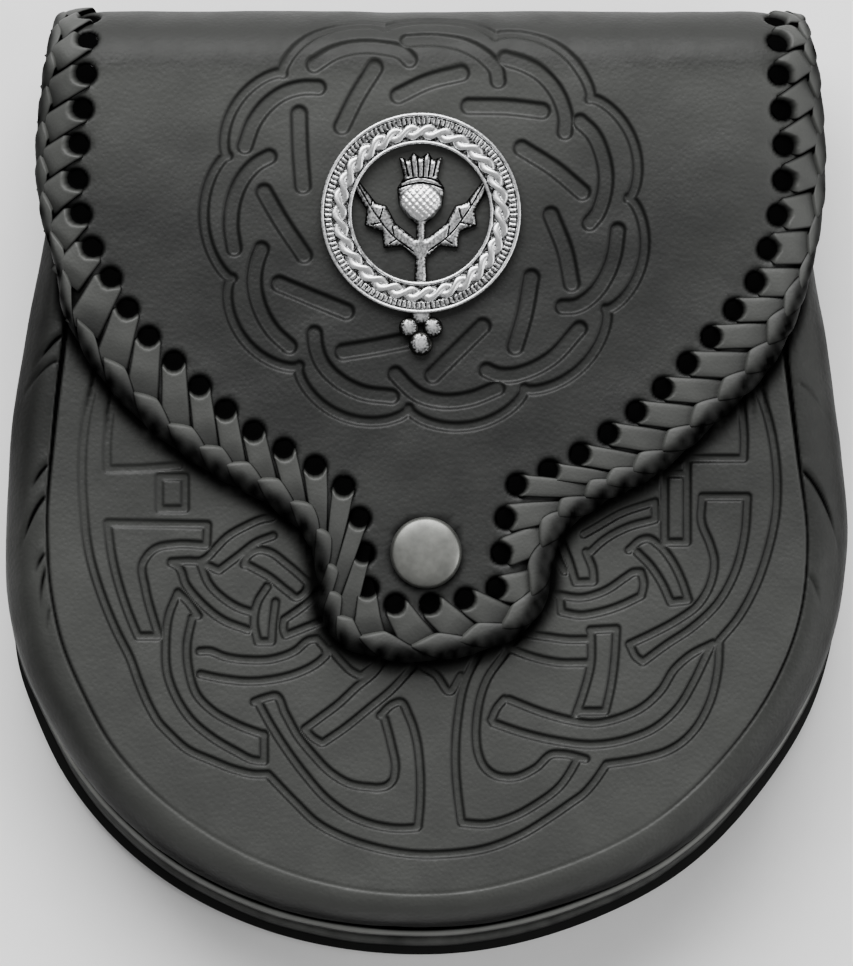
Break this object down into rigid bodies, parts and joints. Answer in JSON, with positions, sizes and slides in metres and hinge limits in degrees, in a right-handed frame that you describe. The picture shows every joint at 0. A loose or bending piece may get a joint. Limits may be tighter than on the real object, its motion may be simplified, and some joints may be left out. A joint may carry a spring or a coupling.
{
  "type": "sporran pouch",
  "caption": "Moulded leather day pouch with a laced flap that folds over the top, a snap at its tongue, a pierced round badge and strap loops on its back.",
  "frame": {"origin": "middle of the pouch's bounding box, on the floor it lies on", "axes": "the pouch lies on its back: +Z points out of its front, +Y to the fold at its top, +X to the right as seen from the front"},
  "size_m": [0.1774, 0.2004, 0.0426],
  "materials": {
    "moulded_leather": "tooled black leather with a satin sheen",
    "edge_leather": "dark welt beads in the seams",
    "lacing_leather": "flat black thong laced through punched holes",
    "snap_metal": "satin nickel plate",
    "stud_metal": "dark steel stud inside the snap",
    "badge_metal": "antique silver, polished high spots and dark hollows"
  },
  "bodies": {
    "root": {"front_panel": "moulded_leather", "front_welt": "edge_leather", "gusset": "moulded_leather", "back_welt": "edge_leather", "back_panel": "moulded_leather", "flap": "moulded_leather", "flap_lacing": "lacing_leather", "snap_cap": "snap_metal", "snap_stud": "stud_metal", "badge": "badge_metal", "strap_loop_left": "moulded_leather", "strap_loop_right": "moulded_leather"}
  },
  "joints": []
}
